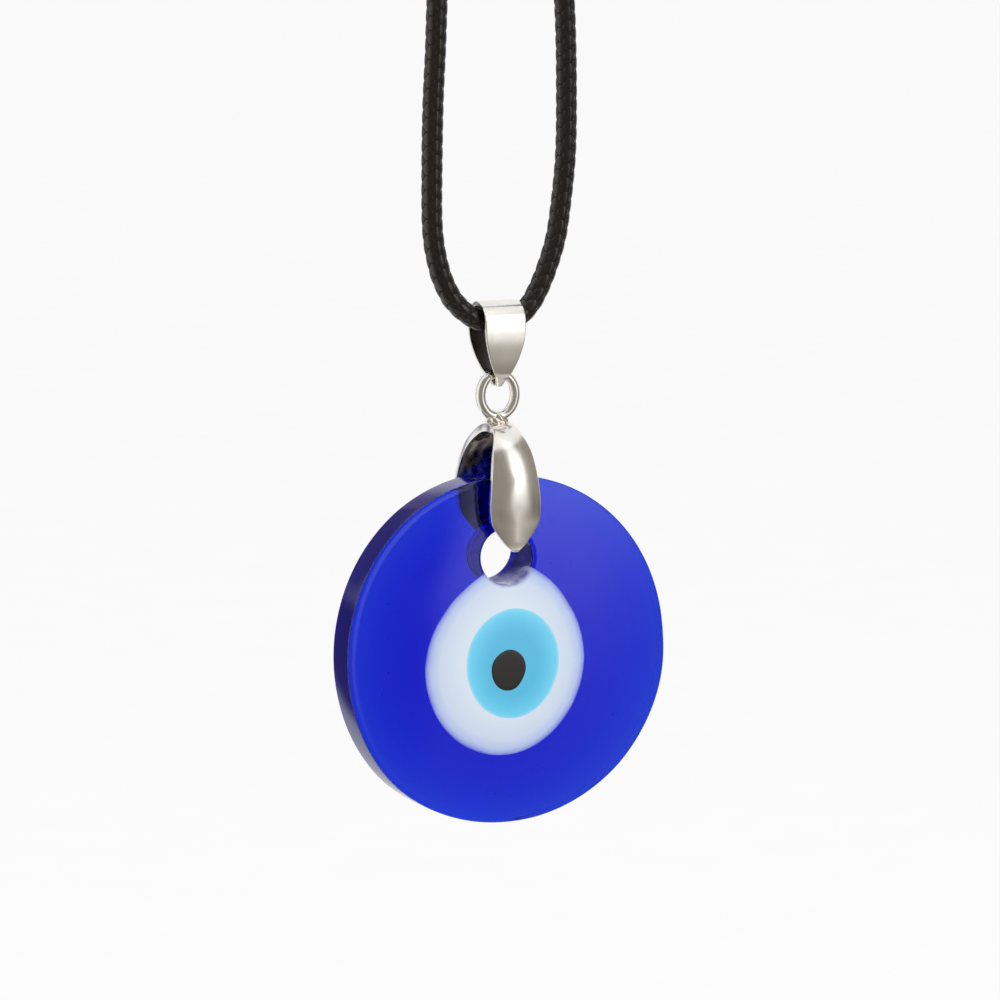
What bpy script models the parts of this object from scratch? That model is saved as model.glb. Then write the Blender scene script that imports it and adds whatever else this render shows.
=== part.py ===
"""Evil eye ornament: a glass disc with a fused eye, a pinch bail with its ring, a folded bail and a cord.

Metres, +Z up, the eye faces -Y. The origin is the inside top of the cord's hanging eye, where a hook or a
nail holds the ornament. The glass hangs on two prongs, the ring hangs in the folded bail, and the folded
bail hangs on the cord, so each of those three hinges has an empty on its axis.
"""

import math

import bmesh
import bpy
from mathutils import Matrix, Vector

MM = 0.001
WELD = 0.001 * MM  # points nearer than this are one point

# Glass disc
GLASS_CENTRE_Z = -107.5 * MM  # below the hanging point
GLASS_CENTRE_X = 0.2 * MM  # the outline's centre is a little off the line through the hole and the eye
GLASS_RADIUS = 16.62 * MM
GLASS_RIM_HALF = 1.7 * MM  # half the rim wall's height
GLASS_CROWN = 1.35 * MM  # how far each face rises above the rim, at the centre
GLASS_EDGE_ROUND = 0.55 * MM
HOLE_RADIUS = 2.68 * MM
HOLE_CUTTER_DEPTH = 12 * MM  # well past both faces
HOLE_X = -0.2 * MM
HOLE_Z = GLASS_CENTRE_Z + 9.0 * MM

# Eye, three drops of glass fused into the front face, each set in the one before
FUSED_GAP = 0.06 * MM
DROP_PLANE_Y = -2.85 * MM  # where each drop is widest, close to the domed face
WHITE_HALF_WIDTH = 8.37 * MM
WHITE_HALF_LOWER = 8.8 * MM
WHITE_HALF_UPPER = 9.7 * MM
WHITE_SHOULDER = 0.10  # how much the drop narrows towards the hole
WHITE_CENTRE = (-0.5 * MM, GLASS_CENTRE_Z - 1.2 * MM)
WHITE_LEAN = 0.6 * MM  # how far the drop's top leans back over the hole
WHITE_DEPTH = 1.3 * MM
IRIS_HALF = (4.92 * MM, 5.35 * MM)
IRIS_CENTRE = (0.2 * MM, GLASS_CENTRE_Z - 1.15 * MM)
IRIS_DEPTH = 0.85 * MM
PUPIL_HALF = (1.85 * MM, 2.0 * MM)
PUPIL_CENTRE = (-0.3 * MM, GLASS_CENTRE_Z - 1.75 * MM)
PUPIL_DEPTH = 0.55 * MM

# Pinch bail, one strip bent into an arch with a pointed leaf on each side of the glass
LEAF_SHEET = 0.8 * MM
ARCH_FOOT_Z = GLASS_CENTRE_Z + 14.0 * MM  # where the leaves become straight
ARCH_RISE = 7.6 * MM
LEAF_TIP_Z = GLASS_CENTRE_Z + 9.8 * MM
# Each leaf's distance from the middle, the exponent of its half of the arch, and how far its tip leans out
FRONT_LEAF = {"side": -1, "gap": 4.0 * MM, "squareness": 2.4, "lean": 0.15 * MM}
BACK_LEAF = {"side": 1, "gap": 4.65 * MM, "squareness": 2.1, "lean": -0.35 * MM}
LEAF_BULGE = 0.5 * MM  # how far a leaf's middle stands proud of its edges
# (height above the glass's centre, half the width), from the arch's top down to the point
LEAF_WIDTHS = (
    (21.6 * MM, 1.25 * MM),
    (21.0 * MM, 1.40 * MM),
    (19.2 * MM, 2.02 * MM),
    (17.1 * MM, 2.38 * MM),
    (14.5 * MM, 2.66 * MM),
    (13.0 * MM, 2.50 * MM),
    (12.0 * MM, 2.15 * MM),
    (10.5 * MM, 1.12 * MM),
    (9.8 * MM, 0.32 * MM),
)

# Prongs that hold the glass, one inside each leaf
PRONG_RADIUS = 0.5 * MM
PRONG_PLAY = 0.05 * MM
PRONG_TIP_Y = 1.5 * MM
FRONT_PRONG_FOOT_Y = -3.35 * MM
BACK_PRONG_FOOT_Y = 3.65 * MM
PRONG_Z = HOLE_Z + HOLE_RADIUS - PRONG_RADIUS - PRONG_PLAY
PRONG_FILLET = 0.3 * MM

# Ring above the pinch bail, and the solder that joins them
RING_Z = GLASS_CENTRE_Z + 24.3 * MM
RING_MEAN_RADIUS = 1.78 * MM
RING_WIRE_RADIUS = 0.44 * MM
RING_STRETCH = 1.12  # the ring is a little taller than wide
SOLDER_HALF = (1.2 * MM, 0.8 * MM, 0.75 * MM)
SOLDER_Z = GLASS_CENTRE_Z + 21.95 * MM
SOLDER_FOOT_Z = GLASS_CENTRE_Z + 21.68 * MM
SOLDER_GAP = 0.05 * MM

# Folded bail, a tapered strip bent over the cord and pinched below the ring's wire
BAIL_AXIS_Z = GLASS_CENTRE_Z + 31.3 * MM
BAIL_X = -0.1 * MM  # it has slid a little along the cord
BAIL_SHEET = 0.42 * MM
BAIL_OUTER_RADIUS = 2.0 * MM
# (outward from the middle, height above the glass's centre, half the width), down one leaf below its bend
BAIL_LEAF = (
    (2.0 * MM, 31.3 * MM, 2.12 * MM),
    (2.03 * MM, 30.3 * MM, 2.08 * MM),
    (2.02 * MM, 29.2 * MM, 1.92 * MM),
    (1.93 * MM, 28.0 * MM, 1.58 * MM),
    (1.72 * MM, 27.1 * MM, 1.22 * MM),
    (1.38 * MM, 26.35 * MM, 0.88 * MM),
    (0.92 * MM, 25.75 * MM, 0.56 * MM),
    (0.50 * MM, 25.15 * MM, 0.30 * MM),
)

# Cord: braided and waxed, doubled through the folded bail and tied in a wrapped knot under a hanging eye
CORD_DIAMETER = 2.0 * MM
CORD_STEP = 2.0 * MM  # between the tube's points
KNOT_TOP_Z = -11.5 * MM
KNOT_TURNS = 4
KNOT_HALF_WIDTH = 3.7 * MM
KNOT_GROOVE = 0.7 * MM
KNOT_FLATNESS = 0.8  # depth over width
TAIL_LENGTH = 2.4 * MM
TAIL_OFFSET_Y = 1.95 * MM
MEETING_GAP = 0.1 * MM  # where two lengths of cord meet at the knot
KNOT_BOTTOM_Z = KNOT_TOP_Z - KNOT_TURNS * CORD_DIAMETER

# The cord's middle line in millimetres (x, z), from the knot down, through the folded bail and up again
CORD_ROUTE_MM = (
    (-1.05, -19.6), (-1.15, -21.6), (-1.9, -25.2), (-3.15, -29.8), (-4.5, -34.8), (-5.6, -40.0),
    (-6.2, -44.8), (-6.45, -50.6), (-6.66, -54.6), (-6.78, -58.3), (-6.83, -62.1), (-6.83, -66.0),
    (-6.68, -68.2), (-6.36, -70.0), (-5.8, -71.9), (-4.8, -73.8), (-3.55, -75.08), (-2.15, -75.97),
    (-0.85, -76.42), (0.35, -76.52), (1.5, -76.27), (2.6, -75.5), (3.6, -74.4), (4.6, -72.6), (5.45, -70.5),
    (6.05, -68.6), (6.42, -66.7), (6.92, -62.9), (7.15, -59.8), (7.2, -55.5), (7.15, -50.5),
    (6.9, -45.6), (6.2, -40.2), (4.95, -34.8), (3.4, -29.8), (1.95, -25.2), (1.15, -21.6), (1.05, -19.6),
)
# The hanging eye's middle line, from the knot's top on one side to its highest point
EYE_ROUTE_MM = (
    (-1.05, -11.4), (-1.2, -10.0), (-2.2, -7.9), (-3.45, -5.9), (-4.0, -3.6), (-3.5, -1.1), (-2.0, 0.5),
    (0.0, 1.0),
)

# How finely round shapes are divided
DISC_SIDES = 64
DOME_SHARES = (0.0, 0.25, 0.5, 0.75, 0.9, 1.0)  # of the way from the disc's centre to its rounded edge
HOLE_SIDES = 40
DROP_SIDES, DROP_RINGS = 32, 10
LEAF_COLUMNS = 8
ARCH_STEPS, LEAF_STEPS = 12, 8
PRONG_SIDES = 20
RING_SEGMENTS, WIRE_SIDES = 36, 10
SOLDER_SIDES, SOLDER_RINGS = 24, 12
BAIL_COLUMNS = 6
BAIL_BEND_STEPS = 8
BAIL_LEAF_STEP = 0.6 * MM
KNOT_SIDES, KNOT_STEPS_PER_TURN = 24, 5
TAIL_SIDES = 12
CORD_BEVEL = 2  # gives the cord's tube eight sides
ROUTE_FINENESS = 16  # points of a curve between two route points, before they are spaced evenly


# Scene, collections and materials


def clear_scene():
    for item in list(bpy.data.objects):
        bpy.data.objects.remove(item)


def collection(name):
    made = bpy.data.collections.new(name)
    bpy.context.scene.collection.children.link(made)
    return made


def material(name, colour, metallic, roughness, transmission=0.0):
    made = bpy.data.materials.new(name)
    made.use_nodes = True
    made.diffuse_color = (*colour, 1.0)
    shader = made.node_tree.nodes["Principled BSDF"]
    shader.inputs["Base Color"].default_value = (*colour, 1.0)
    shader.inputs["Metallic"].default_value = metallic
    shader.inputs["Roughness"].default_value = roughness
    shader.inputs["Transmission Weight"].default_value = transmission
    return made


def add(name, mesh, group, finish=None):
    """A new object that holds this mesh, in a collection and with its finish."""
    item = bpy.data.objects.new(name, mesh)
    group.objects.link(item)
    if finish:
        mesh.materials.clear()
        mesh.materials.append(finish)
    return item


def smooth(mesh, angle=35.0):
    mesh.shade_smooth()
    mesh.set_sharp_from_angle(angle=math.radians(angle))


def evaluated_mesh(item, name):
    """The mesh that an object's modifiers or curve make, in world space, with loose caps welded."""
    bpy.context.view_layer.update()
    graph = bpy.context.evaluated_depsgraph_get()
    mesh = bpy.data.meshes.new_from_object(item.evaluated_get(graph), depsgraph=graph)
    mesh.name = name
    mesh.transform(item.matrix_world)
    shape = bmesh.new()
    shape.from_mesh(mesh)
    bmesh.ops.remove_doubles(shape, verts=shape.verts, dist=WELD)
    shape.to_mesh(mesh)
    shape.free()
    return mesh


def settle(item, group, finish):
    """Replaces an object by its evaluated mesh, placed in a collection with its finish."""
    name = item.name
    mesh = evaluated_mesh(item, name)
    bpy.data.objects.remove(item)
    smooth(mesh)
    return add(name, mesh, group, finish)


def face_out(shape):
    """Turns a closed shape's faces outwards, also after its points were moved by a mirroring formula."""
    bmesh.ops.recalc_face_normals(shape, faces=shape.faces)
    if shape.calc_volume(signed=True) < 0:
        bmesh.ops.reverse_faces(shape, faces=shape.faces)


def cutter(item):
    item.hide_render = True
    item.display_type = "WIRE"
    return item


def boolean(item, other, operation):
    step = item.modifiers.new(f"{operation.lower()} {other.name}", "BOOLEAN")
    step.operation = operation
    step.solver = "EXACT"
    step.object = other


# Shapes


def turned(name, profile, steps, group):
    """A closed profile of (radius, height) points, from the top's axis down the outside, turned about Z."""
    mesh = bpy.data.meshes.new(name)
    edges = [(i, i + 1) for i in range(len(profile) - 1)]
    mesh.from_pydata([(radius, 0.0, height) for radius, height in profile], edges, [])
    item = add(name, mesh, group)
    screw = item.modifiers.new("turn", "SCREW")
    screw.steps = steps
    screw.render_steps = steps
    screw.use_merge_vertices = True
    screw.merge_threshold = WELD
    screw.use_smooth_shade = True
    return item


def smooth_route(points, step):
    """Points about one step apart on a Catmull-Rom curve through these points."""
    ends = [points[0] * 2 - points[1], *points, points[-1] * 2 - points[-2]]
    dense = []
    for before, start, end, after in zip(ends, ends[1:], ends[2:], ends[3:]):
        for i in range(ROUTE_FINENESS):
            t = i / ROUTE_FINENESS
            dense.append(
                0.5 * (
                    2 * start
                    + (end - before) * t
                    + (2 * before - 5 * start + 4 * end - after) * t**2
                    + (3 * start - before - 3 * end + after) * t**3
                )
            )
    dense.append(points[-1])
    lengths = [0.0]
    for start, end in zip(dense, dense[1:]):
        lengths.append(lengths[-1] + (end - start).length)
    count = max(2, round(lengths[-1] / step))
    found = []
    place = 0
    for k in range(count + 1):
        target = lengths[-1] * k / count
        while place < len(dense) - 2 and lengths[place + 1] < target:
            place += 1
        share = (target - lengths[place]) / (lengths[place + 1] - lengths[place])
        found.append(dense[place].lerp(dense[place + 1], share))
    return found


def tube(name, points, radius, group, finish):
    curve = bpy.data.curves.new(name, "CURVE")
    curve.dimensions = "3D"
    curve.bevel_depth = radius
    curve.bevel_resolution = CORD_BEVEL
    curve.use_fill_caps = True
    spline = curve.splines.new("POLY")
    spline.points.add(len(points) - 1)
    for point, place in zip(spline.points, points):
        point.co = (*place, 1.0)
    curve.materials.append(finish)
    item = bpy.data.objects.new(name, curve)
    group.objects.link(item)
    return item


def folded_strip(name, rows, columns, sheet, group, finish):
    """A bent strip of sheet: rows of (y, height, half width, bulge), from one leaf's tip to the other's."""
    shape = bmesh.new()
    bmesh.ops.create_grid(shape, x_segments=columns, y_segments=len(rows) - 1, size=1.0)
    for vertex in shape.verts:
        across, along = vertex.co.x, round((1.0 - vertex.co.y) / 2.0 * (len(rows) - 1))
        y, height, half_width, bulge = rows[along]
        side = -1 if along < len(rows) // 2 else 1
        on_top = along == len(rows) // 2
        proud = bulge * (1.0 - across**2)
        vertex.co = Vector((across * half_width, y + (0.0 if on_top else side * proud), height))
    bmesh.ops.recalc_face_normals(shape, faces=shape.faces)
    outer = min(shape.faces, key=lambda face: face.calc_center_median().y)
    if outer.normal.y > 0:
        bmesh.ops.reverse_faces(shape, faces=shape.faces)
    mesh = bpy.data.meshes.new(name)
    shape.to_mesh(mesh)
    shape.free()
    item = add(name, mesh, group)
    thicken = item.modifiers.new("sheet", "SOLIDIFY")
    thicken.thickness = sheet
    thicken.offset = -1.0
    thicken.use_even_offset = True
    return settle(item, group, finish)


def between(table, value):
    """The second number of a table of pairs, read smoothly between the pairs of a falling first number."""
    for (high, start), (low, end) in zip(table, table[1:]):
        if value >= low:
            share = (high - value) / (high - low)
            return start + (end - start) * share
    return table[-1][1]


# Glass


def face_height(radius):
    """How far a domed face stands from the disc's middle plane, at this distance from its centre."""
    return GLASS_RIM_HALF + GLASS_CROWN * (1.0 - (radius / GLASS_RADIUS) ** 2)


def glass_blank(name, group, finish=None):
    """The whole lens-shaped disc, before the hole and the drops are cut."""
    turn_in = GLASS_RADIUS - GLASS_EDGE_ROUND
    dome = [(turn_in * share, face_height(turn_in * share)) for share in DOME_SHARES]
    low = face_height(turn_in) - GLASS_EDGE_ROUND
    corner = []
    for i in range(1, 4):
        angle = math.radians(90 - 30 * i)
        out = turn_in + GLASS_EDGE_ROUND * math.cos(angle)
        corner.append((out, low + GLASS_EDGE_ROUND * math.sin(angle)))
    front = dome + corner
    profile = front + [(radius, -height) for radius, height in reversed(front)]
    item = turned(name, profile, DISC_SIDES, group)
    item.rotation_euler = (math.radians(90), 0.0, 0.0)
    item.location = (GLASS_CENTRE_X, 0.0, GLASS_CENTRE_Z)
    return settle(item, group, finish)


def drop(name, half, centre, depth, grow, group, finish=None, upper=None, shoulder=0.0, lean=0.0):
    """A flattened drop of glass, widest at DROP_PLANE_Y; grow makes it larger all over, as a cutter."""
    shape = bmesh.new()
    bmesh.ops.create_uvsphere(shape, u_segments=DROP_SIDES, v_segments=DROP_RINGS, radius=1.0)
    for vertex in shape.verts:
        across, down, up = vertex.co.x, vertex.co.z, vertex.co.y
        tall = upper if upper and up > 0 else half[1]
        narrow = 1.0 - shoulder * max(up, 0.0) ** 2
        vertex.co = Vector((
            centre[0] + across * (half[0] + grow) * narrow + lean * max(up, 0.0) ** 2,
            DROP_PLANE_Y + down * (depth + grow),
            centre[1] + up * (tall + grow),
        ))
    face_out(shape)
    mesh = bpy.data.meshes.new(name)
    shape.to_mesh(mesh)
    shape.free()
    smooth(mesh)
    return add(name, mesh, group, finish)


def white_drop(name, grow, group, finish=None):
    half = (WHITE_HALF_WIDTH, WHITE_HALF_LOWER)
    shape = {"upper": WHITE_HALF_UPPER, "shoulder": WHITE_SHOULDER, "lean": WHITE_LEAN}
    return drop(name, half, WHITE_CENTRE, WHITE_DEPTH, grow, group, finish, **shape)


def hole_cutter(group):
    shape = bmesh.new()
    bmesh.ops.create_cone(
        shape,
        cap_ends=True,
        segments=HOLE_SIDES,
        radius1=HOLE_RADIUS,
        radius2=HOLE_RADIUS,
        depth=HOLE_CUTTER_DEPTH,
    )
    mesh = bpy.data.meshes.new("hole_cutter")
    shape.to_mesh(mesh)
    shape.free()
    item = add("hole_cutter", mesh, group)
    item.rotation_euler = (math.radians(90), 0.0, 0.0)
    item.location = (HOLE_X, 0.0, HOLE_Z)
    return cutter(item)


def build_glass(parts, cutters, finishes):
    blank = cutter(glass_blank("face_cutter", cutters))
    hole = hole_cutter(cutters)
    white_seat = cutter(white_drop("white_seat_cutter", FUSED_GAP, cutters))
    iris_seat = cutter(drop("iris_seat_cutter", IRIS_HALF, IRIS_CENTRE, IRIS_DEPTH, FUSED_GAP, cutters))
    pupil_seat = cutter(drop("pupil_seat_cutter", PUPIL_HALF, PUPIL_CENTRE, PUPIL_DEPTH, FUSED_GAP, cutters))

    disc = glass_blank("glass_disc", parts, finishes["cobalt"])
    boolean(disc, white_seat, "DIFFERENCE")
    boolean(disc, hole, "DIFFERENCE")

    white = white_drop("white_drop", 0.0, parts, finishes["white"])
    boolean(white, blank, "INTERSECT")
    boolean(white, iris_seat, "DIFFERENCE")
    boolean(white, hole, "DIFFERENCE")

    iris = drop("light_blue_drop", IRIS_HALF, IRIS_CENTRE, IRIS_DEPTH, 0.0, parts, finishes["light_blue"])
    boolean(iris, blank, "INTERSECT")
    boolean(iris, pupil_seat, "DIFFERENCE")

    pupil = drop("pupil_drop", PUPIL_HALF, PUPIL_CENTRE, PUPIL_DEPTH, 0.0, parts, finishes["dark"])
    boolean(pupil, blank, "INTERSECT")
    return [disc, white, iris, pupil]


# Pinch bail, prongs, ring and solder


def leaf_row(y, height):
    """(y, height, half width, bulge) of the leaf's edge at this place."""
    above = height - GLASS_CENTRE_Z
    top, tip = LEAF_WIDTHS[0][0], LEAF_WIDTHS[-1][0]
    share = (top - above) / (top - tip)
    bulge = LEAF_BULGE * math.sin(math.pi * min(1.0, share)) ** 0.8
    return y, height, between(LEAF_WIDTHS, above), bulge


def leaf_rows(leaf):
    """Rows from the arch's top down one leaf: its half of the arch to the foot, then nearly straight."""
    rows = []
    power = 2.0 / leaf["squareness"]
    for i in range(ARCH_STEPS + 1):
        angle = math.radians(90.0 * i / ARCH_STEPS)
        outward = leaf["gap"] * math.sin(angle) ** power
        height = ARCH_FOOT_Z + ARCH_RISE * max(0.0, math.cos(angle)) ** power
        rows.append(leaf_row(leaf["side"] * outward, height))
    for i in range(1, LEAF_STEPS + 1):
        share = i / LEAF_STEPS
        height = ARCH_FOOT_Z + (LEAF_TIP_Z - ARCH_FOOT_Z) * share
        rows.append(leaf_row(leaf["side"] * (leaf["gap"] + leaf["lean"] * share**2), height))
    return rows


def build_pinch_bail(parts, finish):
    rows = leaf_rows(FRONT_LEAF)[::-1] + leaf_rows(BACK_LEAF)[1:]
    return folded_strip("pinch_bail", rows, LEAF_COLUMNS, LEAF_SHEET, parts, finish)


def build_prongs(parts, finish):
    """Two short pins that point at each other inside the hole, each with a small fillet at its leaf."""
    made = []
    for name, foot in (("front_prong", FRONT_PRONG_FOOT_Y), ("back_prong", BACK_PRONG_FOOT_Y)):
        item = turned(name, prong_profile(abs(foot) - PRONG_TIP_Y), PRONG_SIDES, parts)
        item.rotation_euler = (math.copysign(math.radians(90), foot), 0.0, 0.0)
        item.location = (0.0, foot, PRONG_Z)
        made.append(settle(item, parts, finish))
    return made


def prong_profile(reach):
    round_end = PRONG_RADIUS * 0.5
    return (
        (0.0, reach),
        (PRONG_RADIUS - round_end, reach),
        (PRONG_RADIUS - round_end * 0.3, reach - round_end * 0.3),
        (PRONG_RADIUS, reach - round_end),
        (PRONG_RADIUS, PRONG_FILLET),
        (PRONG_RADIUS + PRONG_FILLET * 0.3, PRONG_FILLET * 0.3),
        (PRONG_RADIUS + PRONG_FILLET, 0.0),
        (0.0, 0.0),
    )


def ring_mesh(name, wire_radius):
    bpy.ops.mesh.primitive_torus_add(
        major_radius=RING_MEAN_RADIUS,
        minor_radius=wire_radius,
        major_segments=RING_SEGMENTS,
        minor_segments=WIRE_SIDES,
    )
    item = bpy.context.object
    mesh = item.data
    mesh.name = name
    bpy.data.objects.remove(item)
    upright = Matrix.Rotation(math.radians(90), 4, "X")
    stretch = Matrix.Diagonal((1.0, 1.0, RING_STRETCH, 1.0))
    mesh.transform(Matrix.Translation((0.0, 0.0, RING_Z)) @ stretch @ upright)
    smooth(mesh)
    return mesh


def build_ring(parts, cutters, silver, solder):
    ring = add("bail_ring", ring_mesh("bail_ring", RING_WIRE_RADIUS), parts, silver)
    clearance = cutter(add("ring_cutter", ring_mesh("ring_cutter", RING_WIRE_RADIUS + SOLDER_GAP), cutters))

    shape = bmesh.new()
    bmesh.ops.create_uvsphere(shape, u_segments=SOLDER_SIDES, v_segments=SOLDER_RINGS, radius=1.0)
    bmesh.ops.scale(shape, vec=SOLDER_HALF, verts=shape.verts)
    bmesh.ops.translate(shape, vec=(0.0, 0.0, SOLDER_Z), verts=shape.verts)
    everything = shape.verts[:] + shape.edges[:] + shape.faces[:]
    cut = bmesh.ops.bisect_plane(
        shape, geom=everything, plane_co=(0.0, 0.0, SOLDER_FOOT_Z), plane_no=(0.0, 0.0, 1.0), clear_inner=True
    )
    rim = [piece for piece in cut["geom_cut"] if isinstance(piece, bmesh.types.BMEdge)]
    bmesh.ops.edgeloop_fill(shape, edges=rim)
    face_out(shape)
    mesh = bpy.data.meshes.new("ring_solder")
    shape.to_mesh(mesh)
    shape.free()
    smooth(mesh)
    bead = add("ring_solder", mesh, parts, solder)
    boolean(bead, clearance, "DIFFERENCE")
    return [ring, bead]


# Folded bail


def build_folded_bail(parts, finish):
    """A half round bend over the cord, with a tapered leaf down to its tip on each side."""
    rows = []
    for i in range(BAIL_BEND_STEPS):
        angle = math.radians(90.0 * i / BAIL_BEND_STEPS)
        outward = BAIL_OUTER_RADIUS * math.sin(angle)
        rows.append((outward, BAIL_AXIS_Z + BAIL_OUTER_RADIUS * math.cos(angle), BAIL_LEAF[0][2], 0.0))
    places = [Vector(row) for row in BAIL_LEAF]
    for outward, above, half_width in smooth_route(places, BAIL_LEAF_STEP):
        rows.append((outward, GLASS_CENTRE_Z + above, half_width, 0.0))
    front = [(-y, *rest) for y, *rest in reversed(rows)]
    bail = folded_strip("folded_bail", front + rows[1:], BAIL_COLUMNS, BAIL_SHEET, parts, finish)
    bail.data.transform(Matrix.Translation((BAIL_X, 0.0, 0.0)))
    return bail


# Cord


def build_knot(parts, finish):
    """The outer shape of the wrapped turns: a turned stack of rounded rings, flattened front to back."""
    profile = [(0.0, 0.0)]
    for step in range(KNOT_TURNS * KNOT_STEPS_PER_TURN + 1):
        turns = step / KNOT_STEPS_PER_TURN
        groove = 1.0 - abs(math.sin(math.pi * turns))
        profile.append((KNOT_HALF_WIDTH - KNOT_GROOVE * groove, -turns * CORD_DIAMETER))
    profile.append((0.0, -KNOT_TURNS * CORD_DIAMETER))
    item = turned("wrapped_knot", profile, KNOT_SIDES, parts)
    knot = settle(item, parts, finish)
    flatten = Matrix.Diagonal((1.0, KNOT_FLATNESS, 1.0, 1.0))
    knot.data.transform(Matrix.Translation((0.0, 0.0, KNOT_TOP_Z)) @ flatten)
    return knot


def build_tails(parts, finish):
    """Two short ends of cord at the knot, each with a melted, rounded tip."""
    radius = CORD_DIAMETER / 2
    profile = (
        (0.0, TAIL_LENGTH),
        (radius * 0.55, TAIL_LENGTH - radius * 0.12),
        (radius * 0.9, TAIL_LENGTH - radius * 0.5),
        (radius, TAIL_LENGTH - radius),
        (radius, 0.0),
        (0.0, 0.0),
    )
    made = []
    for name, up, start, side in (
        ("upper_cord_tail", True, KNOT_TOP_Z + MEETING_GAP, -1),
        ("lower_cord_tail", False, KNOT_BOTTOM_Z - MEETING_GAP, 1),
    ):
        item = turned(name, profile, TAIL_SIDES, parts)
        item.rotation_euler = (0.0 if up else math.pi, 0.0, 0.0)
        item.location = (0.0, side * TAIL_OFFSET_Y, start)
        made.append(settle(item, parts, finish))
    return made


def route(points_mm):
    return [Vector((x * MM, 0.0, z * MM)) for x, z in points_mm]


def build_cord(parts, finish):
    radius = CORD_DIAMETER / 2
    strands = tube("cord", smooth_route(route(CORD_ROUTE_MM), CORD_STEP), radius, parts, finish)
    one_side = route(EYE_ROUTE_MM)
    other_side = [Vector((-point.x, 0.0, point.z)) for point in reversed(one_side[:-1])]
    whole_eye = smooth_route(one_side + other_side, CORD_STEP * 0.7)
    eye = tube("hanging_eye", whole_eye, radius, parts, finish)
    return [strands, eye, build_knot(parts, finish), *build_tails(parts, finish)]


# Assembly


def hang_on(name, height, pieces, group, above=None):
    """An empty on a hinge's axis, with its pieces as children that keep their places."""
    pivot = bpy.data.objects.new(name, None)
    pivot.empty_display_size = 3 * MM
    pivot.location = (0.0, 0.0, height - (above.matrix_world.translation.z if above else 0.0))
    pivot.parent = above
    group.objects.link(pivot)
    bpy.context.view_layer.update()
    for item in pieces:
        item.parent = pivot
        item.matrix_parent_inverse = pivot.matrix_world.inverted()
    return pivot


def main():
    clear_scene()
    parts = collection("evil_eye_ornament")
    cutters = collection("cutters")
    silver = material("silver_plate", (0.72, 0.70, 0.66), 1.0, 0.18)
    solder = material("solder", (0.66, 0.65, 0.62), 1.0, 0.3)
    cord = material("waxed_cord", (0.018, 0.016, 0.015), 0.0, 0.45)
    finishes = {
        "cobalt": material("cobalt_glass", (0.02, 0.03, 0.62), 0.0, 0.05, 0.6),
        "white": material("white_glass", (0.75, 0.83, 0.92), 0.0, 0.1),
        "light_blue": material("light_blue_glass", (0.12, 0.56, 0.84), 0.0, 0.1),
        "dark": material("dark_glass", (0.02, 0.018, 0.016), 0.0, 0.1),
    }

    build_cord(parts, cord)
    bail = build_folded_bail(parts, silver)
    link = [build_pinch_bail(parts, silver), *build_prongs(parts, silver)]
    link += build_ring(parts, cutters, silver, solder)
    glass = build_glass(parts, cutters, finishes)

    bail_axis = hang_on("bail_axis", BAIL_AXIS_Z, [bail], parts)
    ring_top_z = RING_Z + RING_MEAN_RADIUS * RING_STRETCH
    ring_axis = hang_on("ring_axis", ring_top_z, link, parts, bail_axis)
    hang_on("prong_axis", PRONG_Z, glass, parts, ring_axis)
    bpy.context.view_layer.update()


main()
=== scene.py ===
"""Looks of the evil eye ornament: cobalt glass with a fused eye, silver bails and a braided waxed cord.

Metres, +Z up, the eye faces -Y, and the origin is the inside top of the cord's hanging eye. Sizes are in
millimetres times MM. Azimuths run from -Y towards +X, so the camera stands at azimuth -25.4 degrees.
"""

import math

import bpy
import numpy as np
from mathutils import Matrix, Vector


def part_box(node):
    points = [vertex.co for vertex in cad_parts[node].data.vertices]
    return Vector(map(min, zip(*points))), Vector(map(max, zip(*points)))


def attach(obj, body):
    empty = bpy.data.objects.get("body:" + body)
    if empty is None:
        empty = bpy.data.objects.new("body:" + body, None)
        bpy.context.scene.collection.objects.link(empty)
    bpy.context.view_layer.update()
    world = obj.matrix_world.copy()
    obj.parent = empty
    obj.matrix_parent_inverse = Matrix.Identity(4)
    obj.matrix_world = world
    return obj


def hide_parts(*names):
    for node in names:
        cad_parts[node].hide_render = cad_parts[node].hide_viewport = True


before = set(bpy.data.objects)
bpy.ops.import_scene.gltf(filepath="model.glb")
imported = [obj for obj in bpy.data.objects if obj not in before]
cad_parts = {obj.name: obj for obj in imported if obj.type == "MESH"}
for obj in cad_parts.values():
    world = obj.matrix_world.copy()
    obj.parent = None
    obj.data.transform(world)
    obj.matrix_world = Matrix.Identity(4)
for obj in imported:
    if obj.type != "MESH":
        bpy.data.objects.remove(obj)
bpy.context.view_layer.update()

MM = 0.001

# Glass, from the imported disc
GLASS_LOW, GLASS_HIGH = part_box("glass_disc")
GLASS_RADIUS = (GLASS_HIGH.x - GLASS_LOW.x) / 2
GLASS_CENTRE_X = (GLASS_HIGH.x + GLASS_LOW.x) / 2
GLASS_CENTRE_Z = (GLASS_HIGH.z + GLASS_LOW.z) / 2
GLASS_CENTRE = np.array((GLASS_CENTRE_X, 0.0, GLASS_CENTRE_Z))
RIM_HALF = 1.7 * MM
CROWN = 1.35 * MM
FRONT_EDGE = (0.8 * MM, 0.28 * MM)  # how wide and how deep the rounding of the rim's edge is
BACK_EDGE = (0.2 * MM, 0.08 * MM)
EDGE_MOST_AT = math.radians(200)  # the rounding is full at this angle, from +X towards +Z
EDGE_LEAST = 0.4  # share of the rounding that is left opposite
EDGE_FLAT_AT = math.radians(150)  # where a flat band inside the rounding catches the light
EDGE_RISE = 1.25  # 1 makes that band level with the disc, more turns it up
EDGE_SQUARE = 0.6  # 1 would make the rounding an ellipse, less squares it off
RIM_UNEVEN = 0.03 * MM
RIM_BULGE = 0.02 * MM
FACE_WAVE = 0.008 * MM
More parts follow.
